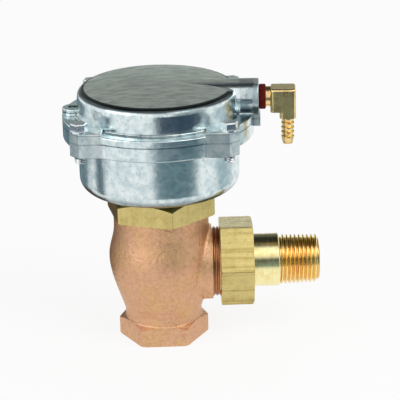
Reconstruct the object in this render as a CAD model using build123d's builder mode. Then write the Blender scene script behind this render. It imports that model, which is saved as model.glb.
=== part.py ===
from build123d import *
from math import cos, radians, sin, sqrt, tan
import os

# A pneumatic zone valve, in millimetres. The origin is the centre of the inlet face.
# +Z runs up the stem and +X is the way the water leaves. It is stored open, with no air.

# Fits
SLIP = 0.06
SEATED = 0.05
LOOSE = 0.4
EDGE = 0.4
THREAD_LEAD_IN = 0.8
FULL_TURN_OFF = 0.16
SLIGHT_TURN_OFF = 0.03

# Angle body, cast bronze
INLET_HEX_FLATS = 34.4
INLET_HEX_HEIGHT = 9.4
INLET_HEX_CORNER = 0.8
INLET_BORE_RADIUS = 10.3
INLET_THREAD_DEPTH = 13.5
BODY_HEIGHT = 58.0
WAIST_INSET = 0.3
WAIST_RISE = 3.4
BELLY_RADIUS = 23.1
BELLY_RISE = 7.2
SHOULDER_SHARE = 0.66
SHOULDER_RISE_SHARE = 0.46
FLANK_LEAN = 0.3
NECK_RADIUS = 20.8
NECK_LENGTH = 5.7
CHAMBER_RADIUS = 15.5
SEAT_LEVEL = 21.0
SEAT_BORE_RADIUS = 8.0
SEAT_LIP_WIDTH = 1.6
SEAT_LIP_HEIGHT = 2.5
SEAT_LIP_TAPER = 12
OUTLET_LEVEL = 33.1
OUTLET_REACH = 22.0
OUTLET_BORE_RADIUS = 9.0
BOSS_RADIUS = 16.6
BOSS_ROOT_RADIUS = 1.8
WAIST_ROOT_RADIUS = 1.0
UNION_THREAD_RADIUS = 14.65
UNION_THREAD_LENGTH = 12.0

# Union nut and tailpiece, drawn brass
UNION_NUT_FLATS = 35.0
UNION_NUT_LENGTH = 14.4
UNION_NUT_TURN = -6.7
UNION_NUT_LIP = 3.5
UNION_NUT_TURN_OFF = 0.06
TAIL_COLLAR_RADIUS = 13.9
TAIL_COLLAR_THICKNESS = 2.4
TAIL_RADIUS = 11.7
TAIL_PLAIN_LENGTH = 11.5
TAIL_BORE_RADIUS = 7.9
PIPE_THREAD_LENGTH = 17.6
PIPE_THREAD_ROOT_RADIUS = 9.8
PIPE_TAPER = 1 / 16

# Bonnet, drawn brass hexagon
BONNET_FLATS = 42.9
BONNET_HEX_HEIGHT = 9.6
BONNET_TURN = -78.8
BONNET_SKIRT_RADIUS = 17.4
BONNET_SKIRT_WALL = 3.0
BONNET_SKIRT_LENGTH = 8.5
BONNET_GUIDE_RADIUS = 8.0
BONNET_WEB = 3.6
BONNET_COLLAR_RADIUS = 15.5
BONNET_COLLAR_HEIGHT = 2.7
BONNET_NECK_RADIUS = 11.9
BONNET_NECK_RISE = 10.7
GASKET_WIDTH = 1.6
GASKET_THICKNESS = 0.8

# Stem, disc and packing
STEM_RADIUS = 3.175
STEM_END_RADIUS = 2.4
STEM_LIFT = 4.5
SEAT_DISC_RADIUS = 9.9
SEAT_DISC_THICKNESS = 3.0
DISC_HOLDER_RADIUS = 11.2
DISC_HOLDER_WEB = 3.0
DISC_HOLDER_RIM = 1.5
DISC_HOLDER_BOSS_RADIUS = 5.0
DISC_HOLDER_BOSS_HEIGHT = 4.5
DISC_NUT_FLATS = 8.0
DISC_NUT_THICKNESS = 2.8
STEM_TIP = 0.6
PACKING_RADIUS = 6.4
PACKING_RING_COUNT = 3
PACKING_RING_HEIGHT = 2.0
PACKING_WASHER_THICKNESS = 1.0
PACKING_SPRING_LENGTH = 6.9
PACKING_SPRING_WIRE_RADIUS = 0.55
PACKING_SPRING_TURNS = 4
GLAND_PLUG_LENGTH = 5.0
GLAND_FLATS = 15.9
GLAND_HEX_HEIGHT = 3.6
GLAND_TURN = 15

# Actuator housing and cover, die-cast aluminium
ACTUATOR_TURN = -3.4
HOUSING_DEPTH = 30.1
HOUSING_FLOOR = 3.5
HOUSING_WALL = 3.4
HOUSING_CORNER_RADIUS = 5.6
HOUSING_DRAFT = 0.2
FLANGE_RADIUS = 41.1
FLANGE_WIDTH = 6.2
HOUSING_FLANGE = 6.2
COVER_FLANGE = 3.2
FLANGE_EDGE = 0.6
FLANGE_ROOT_RADIUS = 1.2
EAR_INSET = 5.8
EAR_BEVEL = 4.0
EAR_RISE = 1.5
EAR_PAD_LENGTH = 13.8
SCREW_INSET = 4.1
DOME_OVERHANG = 0.1
DOME_HEIGHT = 10.9
DOME_DRAFT = 0.8
DOME_EDGE_RADIUS = 3.6
DOME_CROWN = 2.8
DOME_WALL = 2.8
DOME_ROOT_RADIUS = 1.2
AIR_BOSS_RADIUS = 7.9
AIR_BOSS_OVERHANG = 2.3
AIR_BOSS_BELOW_CROWN = 7.7
AIR_BOSS_ROOT = 10.0
AIR_BOSS_BLEND = 0.4
AIR_PORT_RADIUS = 4.5
AIR_PORT_DEPTH = 9.0
AIR_PASSAGE_RADIUS = 1.6
WEB_THICKNESS = 5.2
WEB_OVERHANG = 0.6
WEB_FOOT = 1.2
LUG_DEPTH = 3.2
POCKET_RADIUS = 1.9
POCKET_DEPTH = 2.4
POCKET_PAD_RADIUS = 4.4
POCKET_PAD_RISE = 2.4
BREATHER_RADIUS = 1.5
BREATHER_RISE = 12.0
BREATHER_OVERRUN = 1.0
LOCKNUT_FLATS = 30.2
LOCKNUT_THICKNESS = 4.6
LOCKNUT_TURN = 10

# Diaphragm and its plate
DIAPHRAGM_THICKNESS = 1.2
DIAPHRAGM_MARGIN = 2.2
PLATE_MARGIN = 4.0
PLATE_THICKNESS = 2.4
PLATE_RIM_WALL = 2.0
PLATE_RIM_DEPTH = 3.4
PLATE_EDGE = 0.9
PLATE_ABOVE_SEAM = -0.6
WASHER_RADIUS = 12.5
WASHER_THICKNESS = 1.6
STEM_NUT_FLATS = 8.0
STEM_NUT_THICKNESS = 3.2
STOP_RADIUS = 6.0
SPRING_INSET = 4.4
SPRING_WIRE_RADIUS = 1.6
SPRING_TURNS = 4

# Cover screws
SCREW_SHANK_RADIUS = 2.05
SCREW_HEAD_FLATS = 6.35
SCREW_HEAD_HEIGHT = 3.7
SCREW_TIP = 2.6
SCREW_HEAD_TURN = 15

# Barbed air elbow, brass, and its red seal
SEAL_RADIUS = 5.4
SEAL_WIDTH = 3.0
ELBOW_NECK_RADIUS = 4.4
ELBOW_NECK_LENGTH = 1.9
ELBOW_BLOCK_LENGTH = 10.9
ELBOW_BLOCK_HEIGHT = 10.2
ELBOW_ABOVE_BORE = 4.3
ELBOW_BLOCK_DEPTH = 10.0
ELBOW_BLOCK_CORNER = 1.4
ELBOW_BLOCK_EDGE = 1.0
ELBOW_LEG_WIDTH = 7.0
ELBOW_LEG_LENGTH = 2.8
ELBOW_BORE_RADIUS = 1.3
BARB_RADIUS = 2.8
BARB_ROOT_RADIUS = 2.15
BARB_COUNT = 5
BARB_PITCH = 2.05
BARB_LAND = 0.4
BARB_TIP = 1.2
BARB_NECK = 0.8

# Sizes that follow from the flange
HOUSING_RADIUS = FLANGE_RADIUS - FLANGE_WIDTH
HOUSING_BORE = HOUSING_RADIUS - HOUSING_WALL
EAR_HALF_WIDTH = FLANGE_RADIUS - EAR_INSET
EAR_PAD_START = EAR_HALF_WIDTH - EAR_PAD_LENGTH
SCREW_OFFSET = EAR_HALF_WIDTH - SCREW_INSET
DOME_RADIUS = HOUSING_RADIUS + DOME_OVERHANG
AIR_BOSS_REACH = FLANGE_RADIUS + AIR_BOSS_OVERHANG
WEB_REACH = AIR_BOSS_REACH + WEB_OVERHANG
DIAPHRAGM_RADIUS = FLANGE_RADIUS - DIAPHRAGM_MARGIN
PLATE_RADIUS = HOUSING_BORE - PLATE_MARGIN
SPRING_RADIUS = PLATE_RADIUS - PLATE_RIM_WALL - SPRING_INSET

# Levels and places that follow
WAIST_RADIUS = INLET_HEX_FLATS / 2 - WAIST_INSET
seat_trough_level = SEAT_LEVEL - SEAT_LIP_HEIGHT
skirt_bottom = BODY_HEIGHT - BONNET_SKIRT_LENGTH
bonnet_hex_top = BODY_HEIGHT + BONNET_HEX_HEIGHT
housing_bottom = bonnet_hex_top + BONNET_COLLAR_HEIGHT
housing_floor_top = housing_bottom + HOUSING_FLOOR
neck_top = housing_bottom + BONNET_NECK_RISE
seam_level = housing_bottom + HOUSING_DEPTH
flange_bottom = seam_level - HOUSING_FLANGE
ledge_level = seam_level + COVER_FLANGE
ear_top = ledge_level + EAR_RISE
pocket_pad_top = ledge_level + POCKET_PAD_RISE
dome_edge_level = ledge_level + DOME_HEIGHT
crown_level = dome_edge_level + DOME_CROWN
air_level = crown_level - AIR_BOSS_BELOW_CROWN

gland_hex_bottom = neck_top
gland_hex_top = neck_top + GLAND_HEX_HEIGHT
packing_spring_top = neck_top - GLAND_PLUG_LENGTH
packing_washer_top = packing_spring_top - PACKING_SPRING_LENGTH
packing_rings_top = packing_washer_top - PACKING_WASHER_THICKNESS
packing_floor = packing_rings_top - PACKING_RING_COUNT * PACKING_RING_HEIGHT

disc_bottom = SEAT_LEVEL + STEM_LIFT
disc_top = disc_bottom + SEAT_DISC_THICKNESS
holder_web_top = disc_top + DISC_HOLDER_WEB
holder_top = holder_web_top + DISC_HOLDER_BOSS_HEIGHT
disc_nut_bottom = disc_bottom - DISC_NUT_THICKNESS
plate_bottom = seam_level + PLATE_ABOVE_SEAM
plate_top = plate_bottom + PLATE_THICKNESS
diaphragm_top = plate_top + DIAPHRAGM_THICKNESS
washer_top = diaphragm_top + WASHER_THICKNESS
stem_nut_top = washer_top + STEM_NUT_THICKNESS
stem_top = stem_nut_top + STEM_TIP
stop_level = stem_top + SLIP

union_thread_end = OUTLET_REACH + UNION_THREAD_LENGTH
collar_end = union_thread_end + TAIL_COLLAR_THICKNESS
union_nut_end = collar_end + SLIP + UNION_NUT_LIP
union_nut_start = union_nut_end - UNION_NUT_LENGTH
tail_plain_end = union_nut_end + TAIL_PLAIN_LENGTH
tail_end = tail_plain_end + PIPE_THREAD_LENGTH

pocket_reach = FLANGE_RADIUS - POCKET_PAD_RADIUS
seal_end = AIR_BOSS_REACH + SEAL_WIDTH
elbow_block_start = seal_end + ELBOW_NECK_LENGTH
elbow_block_end = elbow_block_start + ELBOW_BLOCK_LENGTH
barb_reach = elbow_block_end - ELBOW_LEG_WIDTH / 2
elbow_block_bottom = air_level + ELBOW_ABOVE_BORE - ELBOW_BLOCK_HEIGHT
leg_bottom = elbow_block_bottom - ELBOW_LEG_LENGTH
barb_bottom = leg_bottom - BARB_NECK - BARB_COUNT * BARB_PITCH - BARB_TIP

ACTUATOR = Plane.XY.rotated((0, 0, ACTUATOR_TURN))
ACTUATOR_SECTION = Plane(
    origin=(0, 0, 0),
    x_dir=(cos(radians(ACTUATOR_TURN)), sin(radians(ACTUATOR_TURN)), 0),
    z_dir=(sin(radians(ACTUATOR_TURN)), -cos(radians(ACTUATOR_TURN)), 0),
)
ACROSS_AIR_BOSS = Plane(
    origin=(0, 0, air_level),
    x_dir=(-sin(radians(ACTUATOR_TURN)), cos(radians(ACTUATOR_TURN)), 0),
    z_dir=(cos(radians(ACTUATOR_TURN)), sin(radians(ACTUATOR_TURN)), 0),
)
BARB_AXIS = Axis(ACTUATOR.from_local_coords((barb_reach, 0, 0)), (0, 0, 1))
OUTLET = Plane.YZ
BOSS_END = Plane(origin=(OUTLET_REACH, 0, OUTLET_LEVEL), x_dir=(0, 1, 0), z_dir=(1, 0, 0))
OUTLET_AXIS = Axis((0, 0, OUTLET_LEVEL), (1, 0, 0))
OUTLET_SECTION = Plane(origin=(0, 0, OUTLET_LEVEL), x_dir=(0, 1, 0), z_dir=(0, 0, -1))


def save(piece, name):
    """Label one finished piece and write its STEP file."""
    piece.part.label = name
    export_step(piece.part, f"parts/{name}.step")


def corner_radius(flats):
    """Radius over the corners of a hexagon, from its width across flats."""
    return flats / 2 / cos(radians(30))


def outer_rim(builder):
    """The widest circle among the edges at a piece's upper end."""
    circles = builder.edges().filter_by(GeomType.CIRCLE)
    return circles.group_by(Axis.Z)[-1].sort_by(SortBy.RADIUS)[-1]


def circles_of(builder, radius):
    """A piece's circular edges of one radius."""
    circles = builder.edges().filter_by(GeomType.CIRCLE)
    return circles.filter_by(lambda edge: abs(edge.radius - radius) < SEATED)


def root_edges(builder, boss_end, radius):
    """The curved edges where a round boss meets the piece, with a plane on the boss's free end."""

    def on_root(edge):
        place = boss_end.to_local_coords(edge @ 0.5)
        across = sqrt(place.X**2 + place.Y**2)
        return place.Z < -SEATED and abs(across - radius) < SEATED

    return builder.edges().filter_by(GeomType.BSPLINE).filter_by(on_root)


def band(inner, outer, low, high, mode=Mode.ADD):
    """Put a ring's half section into the sketch that is open: radii, then ends."""
    with Locations(((inner + outer) / 2, (low + high) / 2)):
        Rectangle(outer - inner, high - low, mode=mode)


def nut_blank(flats, low, high, low_share, high_share):
    """Put the half section that turns a hexagon's corners off into the open sketch.

    A share is how much of the corner radius is turned off at that end."""
    corner = corner_radius(flats)
    slope = tan(radians(30))
    points = [
        (0, low),
        (corner * (1 - low_share), low),
        (corner, low + corner * low_share * slope),
        (corner, high - corner * high_share * slope),
        (corner * (1 - high_share), high),
        (0, high),
    ]
    Polygon(*points, align=None)


def hexagon(flats, turn):
    """Put a hexagon into the open sketch, a corner at the angle turn."""
    RegularPolygon(corner_radius(flats), 6, rotation=turn)


def body_flank():
    """Points up the casting's outside, from the waist to the neck."""
    waist_level = INLET_HEX_HEIGHT + WAIST_RISE
    belly_level = OUTLET_LEVEL + BELLY_RISE
    shoulder_level = waist_level + (belly_level - waist_level) * SHOULDER_RISE_SHARE
    shoulder_radius = WAIST_RADIUS + (BELLY_RADIUS - WAIST_RADIUS) * SHOULDER_SHARE
    return [
        (WAIST_RADIUS, waist_level),
        (shoulder_radius, shoulder_level),
        (BELLY_RADIUS, belly_level),
        (NECK_RADIUS, BODY_HEIGHT - NECK_LENGTH),
    ]


def make_valve_body():
    with BuildPart() as body:
        with BuildSketch(Plane.XY):
            hexagon(INLET_HEX_FLATS, 0)
        extrude(amount=INLET_HEX_HEIGHT)
        fillet(body.edges().filter_by(Axis.Z), INLET_HEX_CORNER)
        with BuildSketch(Plane.XZ):
            nut_blank(INLET_HEX_FLATS, 0, INLET_HEX_HEIGHT, SLIGHT_TURN_OFF, FULL_TURN_OFF)
        revolve(axis=Axis.Z, mode=Mode.INTERSECT)
        with BuildSketch(Plane.XZ):
            flank = body_flank()
            with BuildLine():
                inside_hex = INLET_HEX_HEIGHT / 2
                Polyline((0, BODY_HEIGHT), (0, inside_hex), (WAIST_RADIUS, inside_hex), flank[0])
                Spline(*flank, tangents=((FLANK_LEAN, 1), (0, 1)))
                Polyline(flank[-1], (NECK_RADIUS, BODY_HEIGHT), (0, BODY_HEIGHT))
            make_face()
        revolve(axis=Axis.Z)
        with BuildSketch(OUTLET):
            with Locations((0, OUTLET_LEVEL)):
                Circle(BOSS_RADIUS)
        extrude(amount=OUTLET_REACH)
        with BuildSketch(OUTLET.offset(OUTLET_REACH)):
            with Locations((0, OUTLET_LEVEL)):
                Circle(BELLY_RADIUS)
        extrude(amount=BELLY_RADIUS, mode=Mode.SUBTRACT)
        fillet(root_edges(body, BOSS_END, BOSS_RADIUS), BOSS_ROOT_RADIUS)
        fillet(circles_of(body, WAIST_RADIUS).sort_by(Axis.Z)[0], WAIST_ROOT_RADIUS)
        with BuildSketch(OUTLET):
            with Locations((0, OUTLET_LEVEL)):
                Circle(UNION_THREAD_RADIUS)
        extrude(amount=union_thread_end)
        chamfer(body.edges().filter_by(GeomType.CIRCLE).sort_by(Axis.X)[-1], THREAD_LEAD_IN)
        with BuildSketch(Plane.XZ):
            band(0, CHAMBER_RADIUS, seat_trough_level, skirt_bottom)
            band(0, BONNET_SKIRT_RADIUS + SEATED, skirt_bottom - BONNET_WEB / 2, BODY_HEIGHT)
            gasket_reach = BONNET_SKIRT_RADIUS + SEATED + GASKET_WIDTH
            band(0, gasket_reach, BODY_HEIGHT - GASKET_THICKNESS, BODY_HEIGHT)
        revolve(axis=Axis.Z, mode=Mode.SUBTRACT)
        with BuildSketch(Plane.XY.offset(seat_trough_level)):
            Circle(SEAT_BORE_RADIUS + SEAT_LIP_WIDTH)
        extrude(amount=SEAT_LIP_HEIGHT, taper=SEAT_LIP_TAPER)
        with BuildSketch(Plane.XZ):
            band(0, INLET_BORE_RADIUS, 0, INLET_THREAD_DEPTH)
            band(0, SEAT_BORE_RADIUS, 0, SEAT_LEVEL)
        revolve(axis=Axis.Z, mode=Mode.SUBTRACT)
        with BuildSketch(OUTLET):
            with Locations((0, OUTLET_LEVEL)):
                Circle(OUTLET_BORE_RADIUS)
        extrude(amount=union_thread_end, mode=Mode.SUBTRACT)
    return body


def make_bonnet():
    with BuildPart() as bonnet:
        with BuildSketch(Plane.XY.offset(BODY_HEIGHT)):
            hexagon(BONNET_FLATS, BONNET_TURN)
        extrude(amount=BONNET_HEX_HEIGHT)
        fillet(bonnet.edges().filter_by(Axis.Z), EDGE)
        with BuildSketch(Plane.XZ):
            nut_blank(BONNET_FLATS, BODY_HEIGHT, bonnet_hex_top, SLIGHT_TURN_OFF, FULL_TURN_OFF)
        revolve(axis=Axis.Z, mode=Mode.INTERSECT)
        with BuildSketch(Plane.XZ):
            band(0, BONNET_SKIRT_RADIUS, skirt_bottom, BODY_HEIGHT)
            band(0, BONNET_COLLAR_RADIUS, bonnet_hex_top, housing_bottom)
            band(0, BONNET_NECK_RADIUS, housing_bottom, neck_top)
        revolve(axis=Axis.Z)
        with BuildSketch(Plane.XZ):
            skirt_bore = BONNET_SKIRT_RADIUS - BONNET_SKIRT_WALL
            web_bottom = BODY_HEIGHT - BONNET_WEB / 2
            band(0, skirt_bore, skirt_bottom, web_bottom)
            band(0, BONNET_GUIDE_RADIUS, skirt_bottom + BONNET_WEB / 2, web_bottom, Mode.SUBTRACT)
            band(0, STEM_RADIUS + SLIP, skirt_bottom, packing_floor)
            band(0, PACKING_RADIUS, packing_floor, neck_top)
        revolve(axis=Axis.Z, mode=Mode.SUBTRACT)
        chamfer(outer_rim(bonnet), THREAD_LEAD_IN)
    return bonnet


def make_bonnet_gasket():
    with BuildPart() as gasket:
        with BuildSketch(Plane.XZ):
            inner = BONNET_SKIRT_RADIUS + SEATED
            outer = inner + GASKET_WIDTH - SEATED
            band(inner, outer, BODY_HEIGHT - GASKET_THICKNESS, BODY_HEIGHT)
        revolve(axis=Axis.Z)
    return gasket


def make_union_nut():
    with BuildPart() as nut:
        with BuildSketch(OUTLET.offset(union_nut_start)):
            with Locations((0, OUTLET_LEVEL)):
                hexagon(UNION_NUT_FLATS, UNION_NUT_TURN)
        extrude(amount=UNION_NUT_LENGTH)
        fillet(nut.edges().filter_by(Axis.X), EDGE)
        with BuildSketch(OUTLET_SECTION):
            ends = (union_nut_start, union_nut_end)
            nut_blank(UNION_NUT_FLATS, *ends, SLIGHT_TURN_OFF, UNION_NUT_TURN_OFF)
        revolve(axis=OUTLET_AXIS, mode=Mode.INTERSECT)
        with BuildSketch(OUTLET_SECTION):
            band(0, UNION_THREAD_RADIUS + SLIP, union_nut_start, collar_end + SLIP)
            band(0, TAIL_RADIUS + SLIP, collar_end, union_nut_end)
        revolve(axis=OUTLET_AXIS, mode=Mode.SUBTRACT)
    return nut


def make_union_tailpiece():
    with BuildPart() as tailpiece:
        with BuildSketch(OUTLET_SECTION):
            band(TAIL_BORE_RADIUS, TAIL_COLLAR_RADIUS, union_thread_end, collar_end)
            band(TAIL_BORE_RADIUS, TAIL_RADIUS, collar_end, tail_plain_end)
            Polygon(
                (TAIL_BORE_RADIUS, tail_plain_end),
                (PIPE_THREAD_ROOT_RADIUS, tail_plain_end),
                (pipe_tip_radius(), tail_end),
                (TAIL_BORE_RADIUS, tail_end),
                align=None,
            )
        revolve(axis=OUTLET_AXIS)
        chamfer(tailpiece.edges().group_by(Axis.X)[-1].sort_by(SortBy.RADIUS)[-1], EDGE)
        chamfer(circles_of(tailpiece, TAIL_RADIUS).sort_by(Axis.X)[-1], EDGE)
    return tailpiece


def pipe_tip_radius():
    """Root radius of the tapered pipe thread at its small end."""
    return PIPE_THREAD_ROOT_RADIUS - PIPE_THREAD_LENGTH * PIPE_TAPER / 2


def make_stem():
    with BuildPart() as stem:
        with BuildSketch(Plane.XZ):
            band(0, STEM_END_RADIUS, disc_nut_bottom - STEM_TIP, stem_top)
            band(0, STEM_RADIUS, holder_top, plate_bottom)
        revolve(axis=Axis.Z)
        chamfer(stem.faces().sort_by(Axis.Z)[-1].edges(), EDGE)
        chamfer(stem.faces().sort_by(Axis.Z)[0].edges(), EDGE)
    return stem


def make_disc_holder():
    with BuildPart() as holder:
        with BuildSketch(Plane.XZ):
            bore = STEM_END_RADIUS + SEATED
            band(bore, DISC_HOLDER_RADIUS, disc_top, holder_web_top)
            band(SEAT_DISC_RADIUS + SEATED, DISC_HOLDER_RADIUS, disc_top - DISC_HOLDER_RIM, disc_top)
            band(bore, DISC_HOLDER_BOSS_RADIUS, holder_web_top, holder_top)
        revolve(axis=Axis.Z)
        chamfer(outer_rim(holder), EDGE)
    return holder


def make_seat_disc():
    with BuildPart() as disc:
        with BuildSketch(Plane.XZ):
            band(STEM_END_RADIUS + SEATED, SEAT_DISC_RADIUS, disc_bottom, disc_top)
        revolve(axis=Axis.Z)
    return disc


def make_hex_nut(flats, low, high, bore, turn=0):
    """A plain hexagon nut on the stem's axis, chamfered at its upper end."""
    with BuildPart() as nut:
        with BuildSketch(Plane.XY.offset(low)):
            hexagon(flats, turn)
        extrude(amount=high - low)
        with BuildSketch(Plane.XZ):
            nut_blank(flats, low, high, SLIGHT_TURN_OFF, FULL_TURN_OFF)
        revolve(axis=Axis.Z, mode=Mode.INTERSECT)
        with BuildSketch(Plane.XY.offset(low)):
            Circle(bore)
        extrude(amount=high - low, mode=Mode.SUBTRACT)
    return nut


def make_packing_rings():
    with BuildPart() as rings:
        for index in range(PACKING_RING_COUNT):
            low = packing_floor + index * PACKING_RING_HEIGHT
            with BuildSketch(Plane.XZ):
                high = low + PACKING_RING_HEIGHT
                band(STEM_RADIUS + SLIP, PACKING_RADIUS - SEATED, low + SEATED, high)
            revolve(axis=Axis.Z)
    return rings


def make_packing_washer():
    with BuildPart() as washer:
        with BuildSketch(Plane.XZ):
            low = packing_rings_top + SEATED
            band(STEM_RADIUS + LOOSE, PACKING_RADIUS - SEATED, low, packing_washer_top)
        revolve(axis=Axis.Z)
    return washer


def make_coil(radius, wire, low, high, turns):
    """A helical compression spring that stands between two levels on the stem's axis."""
    rise = high - low - 2 * (wire + SEATED)
    start = low + wire + SEATED
    with BuildPart() as coil:
        with BuildLine(Plane.XY.offset(start)) as path:
            Helix(pitch=rise / turns, height=rise, radius=radius)
        with BuildSketch(Plane(origin=path.line @ 0, z_dir=path.line % 0)):
            Circle(wire)
        sweep(path=path.line, is_frenet=True)
    return coil


def make_packing_spring():
    radius = (STEM_RADIUS + PACKING_RADIUS) / 2
    ends = (packing_washer_top, packing_spring_top)
    return make_coil(radius, PACKING_SPRING_WIRE_RADIUS, *ends, PACKING_SPRING_TURNS)


def make_return_spring():
    ends = (housing_floor_top, plate_bottom)
    return make_coil(SPRING_RADIUS, SPRING_WIRE_RADIUS, *ends, SPRING_TURNS)


def make_gland_nut():
    with BuildPart() as gland:
        with BuildSketch(Plane.XY.offset(gland_hex_bottom)):
            hexagon(GLAND_FLATS, GLAND_TURN)
        extrude(amount=GLAND_HEX_HEIGHT)
        with BuildSketch(Plane.XZ):
            nut_blank(GLAND_FLATS, gland_hex_bottom, gland_hex_top, SLIGHT_TURN_OFF, FULL_TURN_OFF)
        revolve(axis=Axis.Z, mode=Mode.INTERSECT)
        with BuildSketch(Plane.XZ):
            band(0, PACKING_RADIUS - SEATED, packing_spring_top, gland_hex_bottom)
        revolve(axis=Axis.Z)
        with BuildSketch(Plane.XY.offset(packing_spring_top)):
            Circle(STEM_RADIUS + LOOSE)
        extrude(amount=GLAND_PLUG_LENGTH + GLAND_HEX_HEIGHT, mode=Mode.SUBTRACT)
    return gland


def flange_outline():
    """Put the flange's plan into the open sketch: a round flange with four square ears."""
    Circle(FLANGE_RADIUS)
    ear_outline()


def ear_outline():
    """Put the square of the four ears, its corners bevelled, into the open sketch."""
    inner = EAR_HALF_WIDTH - EAR_BEVEL
    outer = EAR_HALF_WIDTH
    corners = [(outer, inner), (inner, outer), (-inner, outer), (-outer, inner)]
    corners += [(-outer, -inner), (-inner, -outer), (inner, -outer), (outer, -inner)]
    Polygon(*corners, align=None)


def screw_places():
    """The four cover screws' places, on the actuator's own plane."""
    return GridLocations(2 * SCREW_OFFSET, 2 * SCREW_OFFSET, 2, 2)


def housing_outline():
    """Put the housing's outside, from its floor to the seam, into the open line."""
    base = HOUSING_RADIUS - HOUSING_DRAFT
    corner = HOUSING_CORNER_RADIUS
    root = FLANGE_ROOT_RADIUS
    Line((0, housing_bottom), (base - corner, housing_bottom))
    RadiusArc((base - corner, housing_bottom), (base, housing_bottom + corner), -corner)
    Line((base, housing_bottom + corner), (HOUSING_RADIUS, flange_bottom - root))
    RadiusArc((HOUSING_RADIUS, flange_bottom - root), (HOUSING_RADIUS + root, flange_bottom), root)
    Polyline(
        (HOUSING_RADIUS + root, flange_bottom),
        (HOUSING_RADIUS + root, seam_level),
        (0, seam_level),
        (0, housing_bottom),
    )


def spring_chamber_outline():
    """Put the housing's inside into the open line."""
    inside = HOUSING_BORE
    corner = HOUSING_CORNER_RADIUS - HOUSING_WALL
    Line((0, housing_floor_top), (inside - corner, housing_floor_top))
    RadiusArc((inside - corner, housing_floor_top), (inside, housing_floor_top + corner), -corner)
    Polyline(
        (inside, housing_floor_top + corner),
        (inside, seam_level),
        (0, seam_level),
        (0, housing_floor_top),
    )


def flange_lug():
    """Put the plan of the lug under the air boss into the open sketch."""
    inner = HOUSING_RADIUS
    with Locations(((inner + WEB_REACH) / 2, 0)):
        Rectangle(WEB_REACH - inner, WEB_THICKNESS)


def make_lower_housing():
    with BuildPart() as housing:
        with BuildSketch(ACTUATOR.offset(flange_bottom)):
            flange_outline()
        extrude(amount=HOUSING_FLANGE)
        fillet(housing.faces().sort_by(Axis.Z)[0].edges(), FLANGE_EDGE)
        with BuildSketch(ACTUATOR_SECTION):
            with BuildLine():
                housing_outline()
            make_face()
        revolve(axis=Axis.Z)
        with BuildSketch(ACTUATOR.offset(seam_level - LUG_DEPTH)):
            flange_lug()
        extrude(amount=LUG_DEPTH)
        with BuildSketch(ACTUATOR_SECTION):
            with BuildLine():
                spring_chamber_outline()
            make_face()
        revolve(axis=Axis.Z, mode=Mode.SUBTRACT)
        with BuildSketch(ACTUATOR.offset(housing_bottom)):
            Circle(BONNET_NECK_RADIUS + SEATED)
        extrude(amount=HOUSING_FLOOR, mode=Mode.SUBTRACT)
        with BuildSketch(ACTUATOR.offset(flange_bottom)):
            with screw_places():
                Circle(SCREW_SHANK_RADIUS + SEATED)
        extrude(amount=HOUSING_FLANGE, mode=Mode.SUBTRACT)
        with BuildSketch(ACTUATOR_SECTION.offset(-HOUSING_RADIUS - BREATHER_OVERRUN)):
            with Locations((0, housing_bottom + BREATHER_RISE)):
                Circle(BREATHER_RADIUS)
        extrude(amount=2 * HOUSING_WALL, mode=Mode.SUBTRACT)
    return housing


def make_housing_locknut():
    high = housing_floor_top + LOCKNUT_THICKNESS
    bore = BONNET_NECK_RADIUS + SEATED
    return make_hex_nut(LOCKNUT_FLATS, housing_floor_top, high, bore, LOCKNUT_TURN)


def make_diaphragm_plate():
    with BuildPart() as plate:
        with BuildSketch(Plane.XZ):
            band(STEM_END_RADIUS + SEATED, PLATE_RADIUS, plate_bottom, plate_top)
            rim_inner = PLATE_RADIUS - PLATE_RIM_WALL
            band(rim_inner, PLATE_RADIUS, plate_bottom - PLATE_RIM_DEPTH, plate_bottom)
        revolve(axis=Axis.Z)
        fillet(outer_rim(plate), PLATE_EDGE)
    return plate


def make_diaphragm():
    with BuildPart() as diaphragm:
        with BuildSketch(Plane.XZ):
            cavity = DOME_RADIUS - DOME_WALL
            Polygon(
                (STEM_END_RADIUS + SEATED, plate_top),
                (PLATE_RADIUS + SLIP, plate_top),
                (HOUSING_BORE, seam_level),
                (DIAPHRAGM_RADIUS, seam_level),
                (DIAPHRAGM_RADIUS, seam_level + DIAPHRAGM_THICKNESS),
                (cavity, seam_level + DIAPHRAGM_THICKNESS),
                (PLATE_RADIUS + SLIP + DIAPHRAGM_THICKNESS / 2, diaphragm_top),
                (STEM_END_RADIUS + SEATED, diaphragm_top),
                align=None,
            )
        revolve(axis=Axis.Z)
    return diaphragm


def make_diaphragm_washer():
    with BuildPart() as washer:
        with BuildSketch(Plane.XZ):
            band(STEM_END_RADIUS + SEATED, WASHER_RADIUS, diaphragm_top, washer_top)
        revolve(axis=Axis.Z)
        chamfer(outer_rim(washer), EDGE)
    return washer


def crown_arc(reach, edge_level, top_level):
    """Put a shallow arc from the axis out to reach into the open line."""
    rise = top_level - edge_level
    radius = (reach**2 + rise**2) / 2 / rise
    middle = top_level - radius + sqrt(radius**2 - (reach / 2) ** 2)
    ThreePointArc((reach, edge_level), (reach / 2, middle), (0, top_level))


def dome_outline():
    """Put the cover's outside, from the seam to the crown, into the open line."""
    brow = DOME_RADIUS - DOME_DRAFT
    root = DOME_ROOT_RADIUS
    foot = DOME_RADIUS + root
    Polyline((0, crown_level), (0, seam_level), (foot, seam_level), (foot, ledge_level))
    RadiusArc((foot, ledge_level), (DOME_RADIUS, ledge_level + root), root)
    Line((DOME_RADIUS, ledge_level + root), (brow, dome_edge_level))
    crown_arc(brow, dome_edge_level, crown_level)


def boss_web_outline():
    """Put the web that carries the air boss's end into the open sketch."""
    inner = DOME_RADIUS - DOME_WALL / 2
    high = air_level - AIR_BOSS_RADIUS / 2
    Polygon(
        (inner, seam_level),
        (WEB_REACH, seam_level),
        (WEB_REACH, ledge_level - WEB_FOOT),
        (AIR_BOSS_REACH - WEB_FOOT, high),
        (inner, high),
        align=None,
    )


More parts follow.
